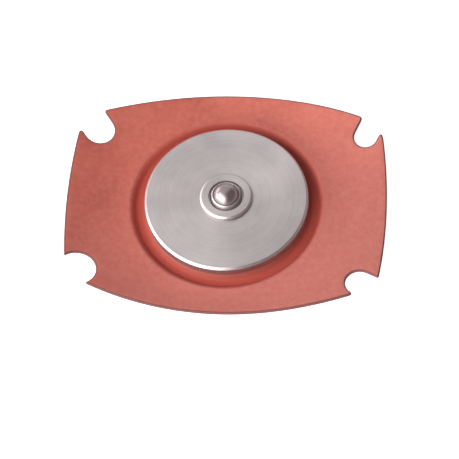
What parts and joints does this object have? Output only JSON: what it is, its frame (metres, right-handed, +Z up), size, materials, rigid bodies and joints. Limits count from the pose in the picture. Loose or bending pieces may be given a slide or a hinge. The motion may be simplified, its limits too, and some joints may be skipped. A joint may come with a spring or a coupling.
{
  "type": "fuel pressure regulator diaphragm",
  "caption": "Red rubber diaphragm with open corner notches and a rolled groove, clamped between turned aluminium plates, with a steel valve ball held in the centre.",
  "frame": {"origin": "on the axis of the round plates, level with the end face of the lower plate's spring spigot, which is the lowest point", "axes": "+Z up along the axis, from the spring side towards the ball; +X along the sheet's long side; +Y along its short side"},
  "size_m": [0.0746, 0.0595, 0.0119],
  "materials": {
    "rubber": "matt, moulded",
    "turned_aluminium": "fine turned",
    "polished_steel": "polished bearing steel"
  },
  "bodies": {
    "root": {"diaphragm": "rubber", "upper_plate": "turned_aluminium", "lower_plate": "turned_aluminium", "ball_holder": "turned_aluminium", "ball": "polished_steel"}
  },
  "joints": []
}
